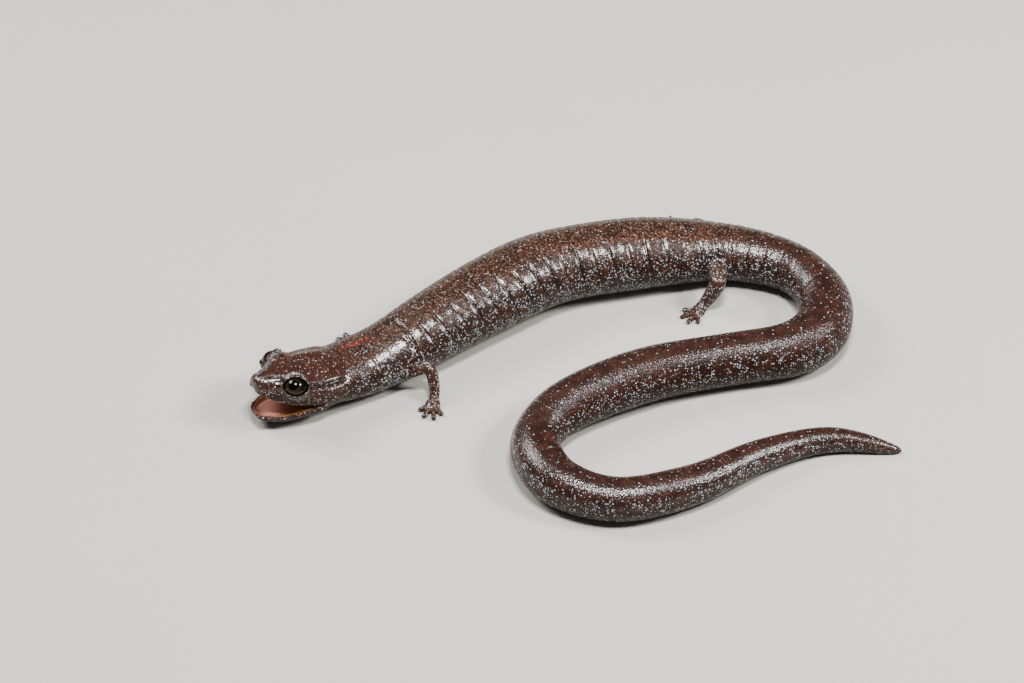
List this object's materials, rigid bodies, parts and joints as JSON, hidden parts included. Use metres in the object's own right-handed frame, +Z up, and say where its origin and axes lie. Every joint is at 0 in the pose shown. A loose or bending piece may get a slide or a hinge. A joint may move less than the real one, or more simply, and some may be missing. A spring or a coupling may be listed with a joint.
{
  "type": "slender salamander model",
  "caption": "Life-size still model of a slender salamander lying in a loose S on the floor, with small legs, ribbed flanks, a long round tail and an open mouth.",
  "frame": {"origin": "middle of the footprint, on the floor", "axes": "+X along the longest side of the footprint, towards the tail tip; +Y away from the viewer; +Z up. The head faces -X"},
  "size_m": [0.0564, 0.0388, 0.0062],
  "materials": {
    "skin": "wet, dark brown amphibian skin with fine silver flecks",
    "eye": "polished, almost black, like a glass eye"
  },
  "bodies": {
    "root": {"head": "skin", "lower_jaw": "skin", "neck": "skin", "torso_front": "skin", "torso_middle": "skin", "torso_rear": "skin", "tail_1": "skin", "tail_2": "skin", "tail_3": "skin", "tail_4": "skin", "tail_5": "skin", "tail_6": "skin", "tail_7": "skin", "tail_8": "skin", "tail_9": "skin", "foreleg_left": "skin", "foreleg_right": "skin", "hindleg_left": "skin", "hindleg_right": "skin", "eye_left": "eye", "eye_right": "eye"}
  },
  "joints": []
}
